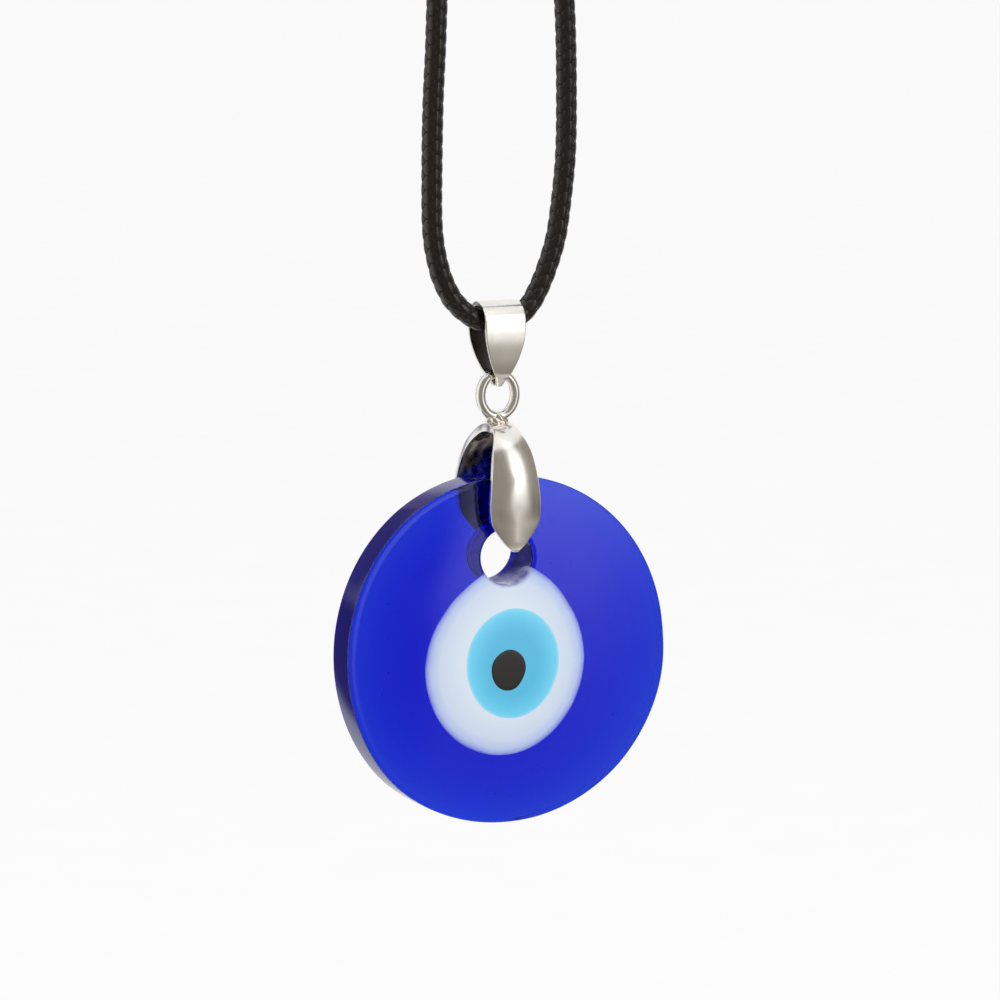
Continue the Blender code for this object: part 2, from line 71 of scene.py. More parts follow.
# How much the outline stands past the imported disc's circle, in millimetres, at these angles in degrees
FULLER_AT = (-180, -165, -150, -133, -110, -90, -70, -45, -17, -8, 2, 20, 100, 125, 145, 165, 180)
FULLER_BY = (0.0, 0.05, 0.2, 0.36, 0.25, 0.2, 0.3, 0.46, 0.4, 0.28, 0.05, 0.0, 0.1, 0.18, 0.1, 0.0, 0.0)
HOLE_RADIUS = 2.68 * MM
HOLE_ACROSS = -0.4 * MM  # hole's centre from the disc's centre
HOLE_ABOVE = 9.0 * MM
HOLE_MOUTH = 0.4 * MM  # rounding of the hole's mouths

# Drops of the eye: half width, lower and upper half height, the centre from the disc's centre, how proud of
# the glass and how deep in it each one is, how uneven its outline is, and how far its tapered top leans
WHITE = {
    "half": 8.37 * MM, "lower": 8.8 * MM, "upper": 9.7 * MM, "centre": (-0.7 * MM, -1.2 * MM),
    "proud": 0.03 * MM, "depth": 1.35 * MM, "wobble": 0.006, "taper": True, "lean": 0.6 * MM,
}
IRIS = {
    "half": 5.2 * MM, "lower": 5.65 * MM, "upper": 5.65 * MM, "centre": (0.0, -1.15 * MM),
    "proud": 0.05 * MM, "depth": 0.8 * MM, "wobble": 0.006, "taper": False, "lean": 0.0,
}
PUPIL = {
    "half": 2.02 * MM, "lower": 2.18 * MM, "upper": 2.18 * MM, "centre": (-0.5 * MM, -1.75 * MM),
    "proud": 0.07 * MM, "depth": 0.5 * MM, "wobble": 0.03, "taper": False, "lean": 0.0,
}
DROP_EDGE_LIFT = 0.012 * MM  # how far a drop's edge stands off the glass
DROP_SKIN = 0.08 * MM  # a drop's thickness on the hole's wall

# Cord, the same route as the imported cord's
CORD_DIAMETER = 2.0 * MM
CORD_ROUTE_MM = (
    (-1.05, -19.6), (-1.15, -21.6), (-1.9, -25.2), (-3.15, -29.8), (-4.5, -34.8), (-5.6, -40.0),
    (-6.2, -44.8), (-6.45, -50.6), (-6.66, -54.6), (-6.78, -58.3), (-6.83, -62.1), (-6.83, -66.0),
    (-6.68, -68.2), (-6.36, -70.0), (-5.8, -71.9), (-4.8, -73.8), (-3.55, -75.08), (-2.15, -75.97),
    (-0.85, -76.42), (0.35, -76.52), (1.5, -76.27), (2.6, -75.5), (3.6, -74.4), (4.6, -72.6), (5.45, -70.5),
    (6.05, -68.6), (6.42, -66.7), (6.92, -62.9), (7.15, -59.8), (7.2, -55.5), (7.15, -50.5),
    (6.9, -45.6), (6.2, -40.2), (4.95, -34.8), (3.4, -29.8), (1.95, -25.2), (1.15, -21.6), (1.05, -19.6),
)
EYE_ROUTE_MM = (
    (-1.05, -11.4), (-1.2, -10.0), (-2.2, -7.9), (-3.45, -5.9), (-4.0, -3.6), (-3.5, -1.1), (-2.0, 0.5),
    (0.0, 1.0),
)
KNOT_LOW, KNOT_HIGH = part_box("wrapped_knot")
KNOT_TURNS = 3.5
TAIL_REACH, TAIL_ACROSS = 3.1 * MM, 0.75 * MM
STRAND_TOP, STRAND_BOTTOM, STRAND_ACROSS = -11.5 * MM, -19.5 * MM, 1.05 * MM  # the two through the knot
MELTED_LENGTH = 0.9 * MM

# Braid
STITCH_LENGTH = 1.35 * MM
STITCH_COLUMNS = 6  # columns of stitches round the cord
COLUMN_TURN = math.radians(25.4 + 30)  # puts a groove between two columns where the cord faces the camera
GROOVE_DEPTH, GROOVE_WIDTH = 0.03 * MM, 0.3
STITCH_POWER, STITCH_SLIM, STITCH_SLOPE = 1.2, 1.4, 0.25  # roundness, narrowness and rise along each stitch
CROWN_DEPTH = 0.055 * MM  # fall from a stitch's middle to its edge
BRAID_RADIUS = 1.01 * MM  # over the stitches' crests
CORD_SIDES = 66
CORD_STEP = 0.13 * MM

# Camera
VIEW_AZIMUTH, VIEW_ELEVATION = math.radians(-25.4), math.radians(8.1)
CAMERA_DISTANCE = 0.45
CAMERA_TARGET = Vector((0.23 * MM, 0.0, -93.32 * MM))
CAMERA_LENS = 170.0


# Directions


def direction(azimuth, elevation):
    """The unit vector at this azimuth and elevation, in radians, as numpy."""
    flat = math.cos(elevation)
    return np.array((math.sin(azimuth) * flat, -math.cos(azimuth) * flat, math.sin(elevation)))


def placed(name, data):
    """A new object in the scene."""
    item = bpy.data.objects.new(name, data)
    bpy.context.scene.collection.objects.link(item)
    return item


def aim(item, target, azimuth, elevation, distance):
    """Puts a camera or light this way and this far from the target, in radians, and turns it to it."""
    back = Vector(direction(azimuth, elevation))
    item.location = target + back * distance
    item.rotation_euler = (-back).to_track_quat("-Z", "Y").to_euler()


def build_camera():
    data = bpy.data.cameras.new("camera")
    data.lens = CAMERA_LENS
    data.clip_start = 0.01
    data.clip_end = 100.0
    camera = placed("camera", data)
    aim(camera, CAMERA_TARGET, VIEW_AZIMUTH, VIEW_ELEVATION, CAMERA_DISTANCE)
    bpy.context.scene.camera = camera


# Mesh helpers

GOLDEN_ANGLE = 2.399963


def lattice(name, points, closed_rows=False, closed_columns=False, caps=False, **attributes):
    """A smooth mesh of quads over (rows, columns, 3) points; caps close the first and last row."""
    rows, columns = points.shape[:2]
    index = np.arange(rows * columns).reshape(rows, columns)
    first, last = index[0][::-1].tolist(), index[-1].tolist()
    if closed_rows:
        index = np.vstack([index, index[:1]])
    if closed_columns:
        index = np.hstack([index, index[:, :1]])
    faces = quad_corners(index).tolist()
    if caps:
        faces += [first, last]
    mesh = bpy.data.meshes.new(name)
    mesh.from_pydata(points.reshape(-1, 3).tolist(), [], faces)
    for key, values in attributes.items():
        layer = mesh.attributes.new(key, "FLOAT", "POINT")
        layer.data.foreach_set("value", np.asarray(values, np.float32).ravel())
    mesh.shade_smooth()
    face_outwards(mesh)
    return placed(name, mesh)


def turns(count):
    """Even angles round a full circle."""
    return np.linspace(0, 2 * np.pi, count, endpoint=False)


def quad_corners(index):
    """The four corners of every cell in a table of point numbers."""
    corners = [index[:-1, :-1], index[:-1, 1:], index[1:, 1:], index[1:, :-1]]
    return np.stack(corners, axis=-1).reshape(-1, 4)


def ball_points(rises, sides):
    """Points of a unit ball at these elevations, in radians, as a (rises, sides, 3) table."""
    rise, sweep = np.meshgrid(rises, turns(sides), indexing="ij")
    return np.stack([np.cos(rise) * np.cos(sweep), np.cos(rise) * np.sin(sweep), np.sin(rise)], axis=-1)


def soft_step(value, start, end):
    """0 up to start, 1 from end on, and a smooth rise between."""
    share = np.clip((value - start) / (end - start), 0, 1)
    return share * share * (3 - 2 * share)


def face_outwards(mesh):
    """Turns a closed mesh's faces outwards."""
    co = np.zeros(len(mesh.vertices) * 3)
    mesh.vertices.foreach_get("co", co)
    co = co.reshape(-1, 3)
    mesh.calc_loop_triangles()
    tri = np.zeros(len(mesh.loop_triangles) * 3, int)
    mesh.loop_triangles.foreach_get("vertices", tri)
    a, b, c = (co[tri.reshape(-1, 3)[:, k]] for k in range(3))
    if np.einsum("ij,ij->i", a, np.cross(b, c)).sum() < 0:
        mesh.flip_normals()


def finish_piece(item, body, slot, look, *nodes):
    """Puts a material on a piece, and says what it rides on and the nodes it stands for. The slot is not
    used.
    """
    item.data.materials.clear()
    item.data.materials.append(look)
    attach(item, body)
    if nodes:
        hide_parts(*nodes)
    return item


def ripple(x, y, size, seed):
    """A smooth, slow, repeatable wave field of about +-1, with features of about this size."""
    total = np.zeros(np.broadcast(x, y).shape)
    for k in range(6):
        turn = seed * 1.7 + k * GOLDEN_ANGLE
        pitch = size * (0.7 + 0.22 * k)
        along = x * math.cos(turn) + y * math.sin(turn)
        total = total + np.sin(along * 2 * math.pi / pitch + seed + k * 1.3)
    return total / 3.0


def smooth_curve(points, step):
    """Points about one step apart on a Catmull-Rom curve through these points, as numpy."""
    points = np.asarray(points, float)
    ends = np.vstack([2 * points[0] - points[1], points, 2 * points[-1] - points[-2]])
    t = np.linspace(0, 1, 32, endpoint=False)[:, None]
    dense = []
    for before, start, end, after in zip(ends, ends[1:], ends[2:], ends[3:]):
        dense.append(
            0.5 * (
                2 * start
                + (end - before) * t
                + (2 * before - 5 * start + 4 * end - after) * t**2
                + (3 * start - before - 3 * end + after) * t**3
            )
        )
    dense = np.vstack([*dense, points[-1:]])
    return evenly(dense, step)


def run_along(line):
    """How far along a line each of its points is."""
    return np.concatenate([[0], np.cumsum(np.linalg.norm(np.diff(line, axis=0), axis=1))])


def directions_along(line):
    """The unit tangent at each of a line's points."""
    tangent = np.gradient(line, axis=0)
    return tangent / np.linalg.norm(tangent, axis=1)[:, None]


def evenly(dense, step):
    """The same line with points one even step apart."""
    run = run_along(dense)
    count = max(2, round(run[-1] / step))
    places = np.linspace(0, run[-1], count + 1)
    return np.stack([np.interp(places, run, dense[:, k]) for k in range(dense.shape[1])], axis=1)


def smooth_table(pairs, value):
    """A table of (place, size) pairs read along a smooth curve, for falling places."""
    dense = smooth_curve(pairs, 0.02 * MM)[::-1]
    return np.interp(value, dense[:, 0], dense[:, 1])


# Cord


def travelling_frames(line):
    """Unit tangent and two unit normals that turn as little as they can along a line."""
    tangent = directions_along(line)
    start = np.array((0.0, 1.0, 0.0)) if abs(tangent[0][1]) < 0.9 else np.array((1.0, 0.0, 0.0))
    normal = np.zeros_like(tangent)
    for i, along in enumerate(tangent):
        held = start if i == 0 else normal[i - 1]
        held = held - along * held.dot(along)
        normal[i] = held / np.linalg.norm(held)
    return tangent, normal, np.cross(tangent, normal)


def braid_height(around, run):
    """Lozenge-shaped stitches: each point's height on its stitch, nearness to a groove and place across."""
    column = around * STITCH_COLUMNS / (2 * np.pi)
    row = run / STITCH_LENGTH
    best, second = np.full(around.shape, -9.0), np.full(around.shape, -9.0)
    across = np.zeros(around.shape)
    for side in (-1, 0, 1):
        number = np.round(column) + side
        half_row = np.mod(number, 2) / 2
        for above in (-1, 0, 1):
            along = row - (np.round(row - half_row) + above + half_row)
            over = STITCH_SLIM * (column - number)
            away = np.abs(over) ** STITCH_POWER + np.abs(2 * along) ** STITCH_POWER
            crown = 1 - away ** (1 / STITCH_POWER) - STITCH_SLOPE * along
            taller = crown > best
            second = np.where(taller, best, np.maximum(second, crown))
            best = np.where(taller, crown, best)
            across = np.where(taller, over, across)
    groove = np.exp(-(((best - second) / GROOVE_WIDTH) ** 2))
    return np.clip(best, 0, 1), groove, across


def braided_tube(name, line, phase=0.0, blunt=(0.0, 0.0)):
    """A braided tube along a line; blunt gives the length of the rounded, melted stretch at each end."""
    tangent, normal, side = travelling_frames(line)
    run = run_along(line)
    around = turns(CORD_SIDES)
    grid_run, grid_around = np.meshgrid(run, around, indexing="ij")
    crown, groove, across = braid_height(grid_around + phase - COLUMN_TURN, grid_run)
    melted = np.zeros_like(grid_run)
    close = np.ones_like(grid_run)
    for length, away in ((blunt[0], grid_run), (blunt[1], run[-1] - grid_run)):
        if length:
            melted = np.maximum(melted, np.clip(1.6 - away / length, 0, 1))
            close *= np.sqrt(np.clip(1 - (1 - np.clip(away / length, 0, 1)) ** 2, 0.0004, 1))
    crown, groove = crown * (1 - melted) + 0.6 * melted, groove * (1 - melted)
    uneven = 0.012 * ripple(grid_run, grid_around * 2 * MM, 9 * MM, 3.0)
    radius = BRAID_RADIUS - GROOVE_DEPTH * groove - CROWN_DEPTH * (1 - crown) ** 2
    radius = radius * (1 + uneven) * close
    out = np.cos(grid_around)[..., None] * normal[:, None] + np.sin(grid_around)[..., None] * side[:, None]
    points = line[:, None] + out * radius[..., None]
    return lattice(name, points, closed_columns=True, caps=True, groove=groove, across=across, melted=melted)


def build_cord(wax):
    line = smooth_curve([(x * MM, 0.0, z * MM) for x, z in CORD_ROUTE_MM], CORD_STEP)
    cord = finish_piece(braided_tube("braided_cord", line), "cord", "waxed_cord", wax, "cord")

    half = [(x * MM, 0.0, z * MM) for x, z in EYE_ROUTE_MM]
    other = [(-x, y, z) for x, y, z in reversed(half[:-1])]
    eye_line = smooth_curve(half + other, CORD_STEP)
    eye = braided_tube("cord_eye", eye_line, 0.6)
    finish_piece(eye, "cord", "waxed_cord", wax, "hanging_eye")

    knot = braided_tube("knot_wrap", knot_line(), 1.1, (MELTED_LENGTH, MELTED_LENGTH))
    finish_piece(knot, "cord", "waxed_cord", wax, "wrapped_knot", "upper_cord_tail", "lower_cord_tail")

    for word, side in (("left", -1), ("right", 1)):
        strand = braided_tube(f"knot_strand_{word}", strand_line(side), 0.3)
        finish_piece(strand, "cord", "waxed_cord", wax)


def knot_line():
    """The wrap's middle line: a tail comes down in front, turns round the strands and leaves behind."""
    radius = CORD_DIAMETER / 2
    half_x = KNOT_HIGH.x - radius
    half_y = KNOT_HIGH.y - radius
    top, bottom = KNOT_HIGH.z - radius, KNOT_LOW.z + radius
    angle = np.linspace(-math.pi / 2, -math.pi / 2 + 2 * math.pi * KNOT_TURNS, 220)
    share = np.linspace(0, 1, 220)
    wrap = np.stack([half_x * np.cos(angle), half_y * np.sin(angle), top + (bottom - top) * share], axis=1)
    tail_up = [(-TAIL_ACROSS, -half_y, top + TAIL_REACH - t * TAIL_REACH) for t in np.linspace(0, 0.72, 8)]
    tail_down = [(TAIL_ACROSS, half_y, bottom - t * TAIL_REACH) for t in np.linspace(0.28, 1, 8)]
    keep = slice(8, -8)  # the wrap's ends give way to the tails
    return smooth_curve(np.vstack([tail_up, wrap[keep], tail_down]), CORD_STEP)


def strand_line(side):
    """One of the two strands that run through the knot."""
    heights = np.linspace(STRAND_TOP, STRAND_BOTTOM, 12)
    return smooth_curve([(side * STRAND_ACROSS, 0.0, z) for z in heights], CORD_STEP)


# Bails: strips with a cross-section that follows a bent sheet

FLANK_LEAN = math.radians(10)  # both leaves' sheared edges lean back, as the press left them


def section_loop(half, bulge, power, lean, sheet, edge, across=40):
    """A bent sheet's closed outline as (across, outward) points and whether each is on the inner side."""
    inner_half = max(half - sheet * math.tan(lean), half * 0.4)
    edge = min(edge, half * 0.6, sheet * 0.45)

    def outer(s):
        return np.array((s * half, bulge * (1 - abs(s) ** power)))

    def inner(s):
        return np.array((s * inner_half, bulge * (1 - abs(s) ** power) - sheet))

    def corner(start, tip, end, steps=5):
        t = np.linspace(0, 1, steps)[1:-1, None]
        return list((1 - t) ** 2 * start + 2 * t * (1 - t) * tip + t**2 * end)

    def flank(sign):
        tip_out, tip_in = outer(sign), inner(sign)
        start, stop = outer(sign * (1 - edge / half)), inner(sign * (1 - edge / inner_half))
        share = edge / sheet
        above, below = tip_out + (tip_in - tip_out) * share, tip_in + (tip_out - tip_in) * share
        return [start, *corner(start, tip_out, above), above, below, *corner(below, tip_in, stop), stop]

    reach = 1 - edge / half
    inner_reach = 1 - edge / inner_half
    face = [outer(s) for s in np.linspace(-reach, reach, across)[1:-1]]
    right = flank(1)
    under = [inner(s) for s in np.linspace(inner_reach, -inner_reach, across)[1:-1]]
    left = flank(-1)[::-1]
    points = np.array([*face, *right, *under, *left])
    inside = np.zeros(len(points))
    first = len(face) + len(right) - 1
    inside[first : first + len(under) + 2] = 1.0
    return points, inside


def bent_strip(name, line, halves, bulges, powers, sheet, edge, shape):
    """A sheet-metal strip along a line of (y, z) points, from one leaf's tip to the other's."""
    tangent = directions_along(line)
    outward = np.stack([-tangent[:, 1], tangent[:, 0]], axis=1)
    middle = len(line) // 2
    if outward[middle][1] < 0:
        outward = -outward
    run = run_along(line)
    leans = FLANK_LEAN * np.tanh(-line[:, 0] / MM)
    loops, insides = [], []
    for i, (place, normal) in enumerate(zip(line, outward)):
        section, inside = section_loop(halves[i], bulges[i], powers[i], leans[i], sheet, edge)
        out = section[:, 1] + shape(section[:, 0], run[i], run[-1], inside)
        places = [section[:, 0], place[0] + out * normal[0], place[1] + out * normal[1]]
        loops.append(np.stack(places, axis=1))
        insides.append(inside)
    loops = close_ends(np.array(loops))
    insides = np.array([insides[0], insides[0], *insides, insides[-1], insides[-1]])
    return lattice(name, loops, closed_columns=True, caps=True, inside=insides)


def close_ends(loops):
    """Two more loops past each end that shrink towards the end's middle, so that the tip is rounded."""
    grown = [*loops]
    for end, before in ((0, 1), (-1, -2)):
        loop = loops[end]
        centre = loop.mean(axis=0)
        ahead = centre - loops[before].mean(axis=0)
        ahead /= np.linalg.norm(ahead)
        step = 0.06 * MM
        extra = [
            centre + (loop - centre) * 0.82 + ahead * step,
            centre + (loop - centre) * 0.45 + ahead * step * 1.5,
        ]
        grown = [extra[1], extra[0], *grown] if end == 0 else [*grown, *extra]
    return np.array(grown)


# Pinch bail

LEAF_SHEET, LEAF_EDGE = 0.8 * MM, 0.14 * MM
ARCH_FOOT = 14.0 * MM  # heights above the glass's centre
ARCH_RISE = 7.6 * MM
LEAF_TIP = 9.8 * MM
LEAF_BULGE = 0.5 * MM
FRONT_LEAF = {"side": -1, "gap": 4.0 * MM, "squareness": 2.4, "lean": 0.15 * MM}
BACK_LEAF = {"side": 1, "gap": 4.65 * MM, "squareness": 2.1, "lean": -0.35 * MM}
RIDGE_FROM, RIDGE_TO = 14.2 * MM, 12.4 * MM  # heights over which a leaf's round back sharpens to a ridge
LEAF_WIDTHS = MM * np.array((  # half widths at heights above the glass's centre
    (21.6, 1.25), (21.0, 1.40), (19.2, 2.02), (17.1, 2.38), (14.5, 2.66), (13.0, 2.60), (12.3, 2.43),
    (11.7, 2.05), (10.5, 1.12), (9.8, 0.32),
))


def leaf_line(leaf):
    """(y, height) down one leaf: its half of the arch, then nearly straight to the tip."""
    power = 2.0 / leaf["squareness"]
    angle = np.radians(np.linspace(0, 90, 200))
    out, rise = leaf["gap"] * np.sin(angle) ** power, ARCH_RISE * np.cos(angle) ** power
    arch = np.stack([leaf["side"] * out, ARCH_FOOT + rise], axis=1)
    share = np.linspace(0, 1, 80)[1:]
    out = leaf["gap"] + leaf["lean"] * share**2
    straight = np.stack([leaf["side"] * out, ARCH_FOOT + (LEAF_TIP - ARCH_FOOT) * share], axis=1)
    return np.vstack([arch, straight])


def build_pinch_bail(silver):
    line = evenly(np.vstack([leaf_line(FRONT_LEAF)[::-1], leaf_line(BACK_LEAF)[1:]]), 0.14 * MM)
    above = line[:, 1].copy()
    halves = smooth_table(LEAF_WIDTHS, above)
    top, tip = LEAF_WIDTHS[0][0], LEAF_WIDTHS[-1][0]
    share = np.clip((top - above) / (top - tip), 0, 1)
    bulges = LEAF_BULGE * np.clip(np.sin(math.pi * share), 0, 1) ** 0.8 * np.clip(halves / (1.2 * MM), 0, 1)
    powers = 2.0 - 0.62 * soft_step(-above, -RIDGE_FROM, -RIDGE_TO)
    line[:, 1] += GLASS_CENTRE_Z
    item = bent_strip(
        "silver_pinch_bail", line, halves, bulges, powers, LEAF_SHEET, LEAF_EDGE, hammered_inside
    )
    return finish_piece(item, "pinch_bail", "silver_plate", silver, "pinch_bail")


def hammered_inside(across, run, length, inside):
    """Wrinkles left by the punch, along the sheet on its inner side only."""
    wrinkles = ripple(across, np.full_like(across, run * 0.45), 0.85 * MM, 5.0)
    return inside * 0.035 * MM * wrinkles


# Folded bail

BAIL_AXIS = 31.3 * MM
BAIL_SHEET, BAIL_EDGE = 0.42 * MM, 0.09 * MM
BAIL_OUTER_RADIUS = 2.0 * MM
BAIL_LEAF = MM * np.array((  # y, height above the glass's centre and half width, down one leaf
    (2.0, 31.3, 2.12), (2.03, 30.3, 2.08), (1.98, 29.25, 1.93), (1.79, 28.0, 1.58), (1.60, 27.1, 1.22),
    (1.34, 26.35, 0.88), (0.92, 25.75, 0.56), (0.50, 25.15, 0.30),
))
CREASE_AT = 0.95 * MM  # from the bend's axis up to the fine line that the bending tool left


def build_folded_bail(silver):
    angle = np.radians(np.linspace(0, 90, 60, endpoint=False))
    out, above = BAIL_OUTER_RADIUS * np.sin(angle), BAIL_AXIS + BAIL_OUTER_RADIUS * np.cos(angle)
    bend = np.stack([out, above, np.full_like(angle, BAIL_LEAF[0][2])], axis=1)
    one = np.vstack([bend, smooth_curve(BAIL_LEAF, 0.05 * MM)])
    whole = np.vstack([one[::-1] * (-1, 1, 1), one[1:]])
    rows = evenly(whole, 0.07 * MM)
    line = rows[:, :2].copy()
    heights = line[:, 1].copy()
    line[:, 1] += GLASS_CENTRE_Z

    def crease(across, run, length, inside):
        height = np.interp(run, np.linspace(0, length, len(heights)), heights)
        depth = 0.02 * MM * math.exp(-(((height - BAIL_AXIS - CREASE_AT) / (0.07 * MM)) ** 2))
        return -(1 - inside) * depth

    bulges, powers = np.full(len(rows), 0.03 * MM), np.full(len(rows), 2.0)
    item = bent_strip(
        "silver_folded_bail", line, rows[:, 2], bulges, powers, BAIL_SHEET, BAIL_EDGE, crease
    )
    low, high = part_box("folded_bail")
    item.data.transform(Matrix.Translation(((low.x + high.x) / 2, 0.0, 0.0)))
    return finish_piece(item, "folded_bail", "silver_plate", silver, "folded_bail")


# Ring, solder and prongs

RING_SIDES, RING_WIRE_SIDES = 160, 36
RING_THICKER = 1.2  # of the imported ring's wire
RING_WORN, RING_WORN_SPAN = 0.18, math.radians(45)  # thinner at the top, where it hangs in the bail
PRONG_RADIUS, PRONG_FILLET = 0.5 * MM, 0.3 * MM
SOLDER_SINK = 0.45 * MM  # how far the bead runs down into the arch's top


def bare_metal(name, points, **closed):
    """A lattice for a metal piece that has no inner side painted in shade."""
    return lattice(name, points, inside=np.zeros(points.shape[:2]), **closed)


def build_ring(silver, solder):
    low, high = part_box("bail_ring")
    wire = (high.y - low.y) / 2
    centre_z = (low.z + high.z) / 2
    half_x, half_z = (high.x - low.x) / 2 - wire, (high.z - low.z) / 2 - wire
    turn = turns(RING_SIDES)
    line = np.stack([half_x * np.cos(turn), 0 * turn, centre_z + half_z * np.sin(turn)], axis=1)
    out = np.stack([np.cos(turn), 0 * turn, np.sin(turn)], axis=1)
    around = turns(RING_WIRE_SIDES)
    uneven = 1 + 0.012 * np.sin(3 * turn + 1.0) + 0.008 * np.sin(7 * turn)
    thick = RING_THICKER - RING_WORN * np.exp(-(((turn - math.pi / 2) / RING_WORN_SPAN) ** 2))
    radius = wire * (thick * uneven)[:, None, None]
    forward = np.array((0.0, 1.0, 0.0))
    points = line[:, None] + radius * (
        np.cos(around)[None, :, None] * out[:, None] + np.sin(around)[None, :, None] * forward
    )
    ring = bare_metal("silver_ring", points, closed_rows=True, closed_columns=True)
    finish_piece(ring, "pinch_bail", "silver_plate", silver, "bail_ring")

    low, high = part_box("ring_solder")
    low.z -= SOLDER_SINK
    middle = np.array((low + high) / 2)
    half = np.array((high - low) / 2)
    unit = ball_points(np.linspace(-np.pi / 2, np.pi / 2, 40)[1:-1], 64)
    sweep = np.arctan2(unit[..., 1], unit[..., 0])
    lumps = ripple(unit[..., 0] * MM + unit[..., 2] * 0.5 * MM, unit[..., 1] * MM, 0.9 * MM, 2.0)
    lobes = 0.10 * np.cos(sweep * 2) * (1 - unit[..., 2] ** 2) + 0.07 * np.sin(sweep * 3 + 0.5)
    size = 0.93 + 0.09 * lumps + lobes * 0.8
    points = middle + unit * half * np.clip(size, 0.7, 1.08)[..., None]
    bead = bare_metal("solder_bead", points, closed_columns=True, caps=True)
    finish_piece(bead, "pinch_bail", "solder", solder, "ring_solder")


def build_prongs(silver):
    for node, side in (("front_prong", -1), ("back_prong", 1)):
        low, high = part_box(node)
        foot, tip = (low.y, high.y) if side < 0 else (high.y, low.y)
        centre_z = (low.z + high.z) / 2
        straight = abs(tip - foot) - PRONG_RADIUS
        ball = straight + PRONG_RADIUS * np.sin(np.linspace(0.15, 1.5, 12))
        along = np.concatenate([np.linspace(0, straight, 14), ball])
        fillet = PRONG_FILLET * np.exp(-along / (0.4 * PRONG_FILLET))
        past = np.clip((along - straight) / PRONG_RADIUS, 0, 1)
        size = (PRONG_RADIUS + fillet) * np.sqrt(np.clip(1 - past**2, 0.0005, 1))
        around = turns(32)
        points = np.zeros((len(along), len(around), 3))
        points[..., 0] = size[:, None] * np.cos(around)
        points[..., 1] = (foot - side * along)[:, None]
        points[..., 2] = centre_z + size[:, None] * np.sin(around)
        item = bare_metal(f"silver_{node}", points, closed_columns=True, caps=True)
        finish_piece(item, "pinch_bail", "silver_plate", silver, node)


# Glass


def around_hole(radius, spin):
    """Points across and above the disc's centre, on a circle round the hole."""
    return HOLE_ACROSS + radius * np.cos(spin), HOLE_ABOVE + radius * np.sin(spin)


def dome(x, z):
    """How far the glass's face stands from the middle plane, over a point x and z from the disc's centre."""
    return RIM_HALF + CROWN * (1 - (x * x + z * z) / GLASS_RADIUS**2)


def build_glass(cobalt):
    """The disc as one closed skin: circles that widen from the hole's to the rim's, over both faces."""
    spin = turns(320)
    rim_wave = RIM_UNEVEN * ripple(np.cos(spin) * MM, np.sin(spin) * MM, 1.4 * MM, 4.0)
    fuller = np.interp(spin, np.radians(FULLER_AT), FULLER_BY, period=2 * np.pi) * MM
    fuller = sum(np.roll(fuller, k) for k in range(-4, 5)) / 9
    rounding = EDGE_LEAST + (1 - EDGE_LEAST) * (0.5 + 0.5 * np.cos(spin - EDGE_MOST_AT))
    flat = (0.5 + 0.5 * np.cos(spin - EDGE_FLAT_AT)) ** 2
    inner = HOLE_RADIUS + HOLE_MOUTH
    edge = dome(*around_hole(inner, spin))
    sides = []
    for front, (wide, deep) in ((1, FRONT_EDGE), (-1, BACK_EDGE)):
        wide, deep = wide * rounding, deep * rounding
        fall = 2 * CROWN / GLASS_RADIUS * wide * (1 - EDGE_RISE * flat)
        outer = GLASS_RADIUS + fuller - wide
        rows = []
        for a in np.linspace(0, math.pi / 2, 9):  # hole wall to face
            x, z = around_hole(HOLE_RADIUS + HOLE_MOUTH * (1 - math.cos(a)), spin)
            rows.append((x, edge - HOLE_MOUTH * (1 - math.sin(a)), z))
        for t in np.linspace(0, 1, 70)[1:]:
            radius = inner + (outer - inner) * t
            x = HOLE_ACROSS * (1 - t) + radius * np.cos(spin)
            z = HOLE_ABOVE * (1 - t) + radius * np.sin(spin)
            fade = soft_step(t, 0.0, 0.2) * (1 - soft_step(t, 0.8, 1.0))
            rows.append((x, dome(x, z) + fade * FACE_WAVE * ripple(x, z, 11 * MM, 2.0 + front), z))
        base = rows[-1][1] + fall - deep
        for a in np.linspace(0, math.pi / 2, 11)[1:]:  # face to rim
            out, up = math.sin(a) ** EDGE_SQUARE, max(math.cos(a), 0.0) ** EDGE_SQUARE
            radius = outer + wide * out + rim_wave * math.sin(a)
            y = base + (deep - fall) * up - fall * out
            rows.append((radius * np.cos(spin), y, radius * np.sin(spin)))
        sides.append([(x, -front * y, z) for x, y, z in rows])
    rim_front, rim_back = sides[0][-1][1], sides[1][-1][1]
    wall = []
    for t in np.linspace(0, 1, 12)[1:-1]:
        radius = GLASS_RADIUS + fuller + rim_wave + RIM_BULGE * math.sin(math.pi * t)
        wall.append((radius * np.cos(spin), rim_front + (rim_back - rim_front) * t, radius * np.sin(spin)))
    x, z = around_hole(HOLE_RADIUS, spin)
    start, end = sides[1][0][1], sides[0][0][1]
    bore = [(x, start + (end - start) * t, z) for t in np.linspace(0, 1, 12)[1:-1]]
    rows = [*sides[0], *wall, *sides[1][::-1], *bore]
    points = np.array([np.stack([x, y, z], axis=1) for x, y, z in rows]) + GLASS_CENTRE
    item = lattice("cobalt_disc", points, closed_rows=True, closed_columns=True)
    return finish_piece(item, "glass", "cobalt_glass", cobalt, "glass_disc")


FILM_DEPTH = -0.012 * MM  # of the film's inner side below the hole's wall: it stands a little into the hole
FILM_THICKNESS = 0.1 * MM
FILM_FLARE = 0.06 * MM  # how much wider its two ends are
FILM_FADE = (0.0, 1.0)  # along the hole, as shares of its half length, where the film thins out at the back
FILM_PALE = (0.4, 0.95)  # how low down the hole's wall the white glass starts to tint the film, and is full


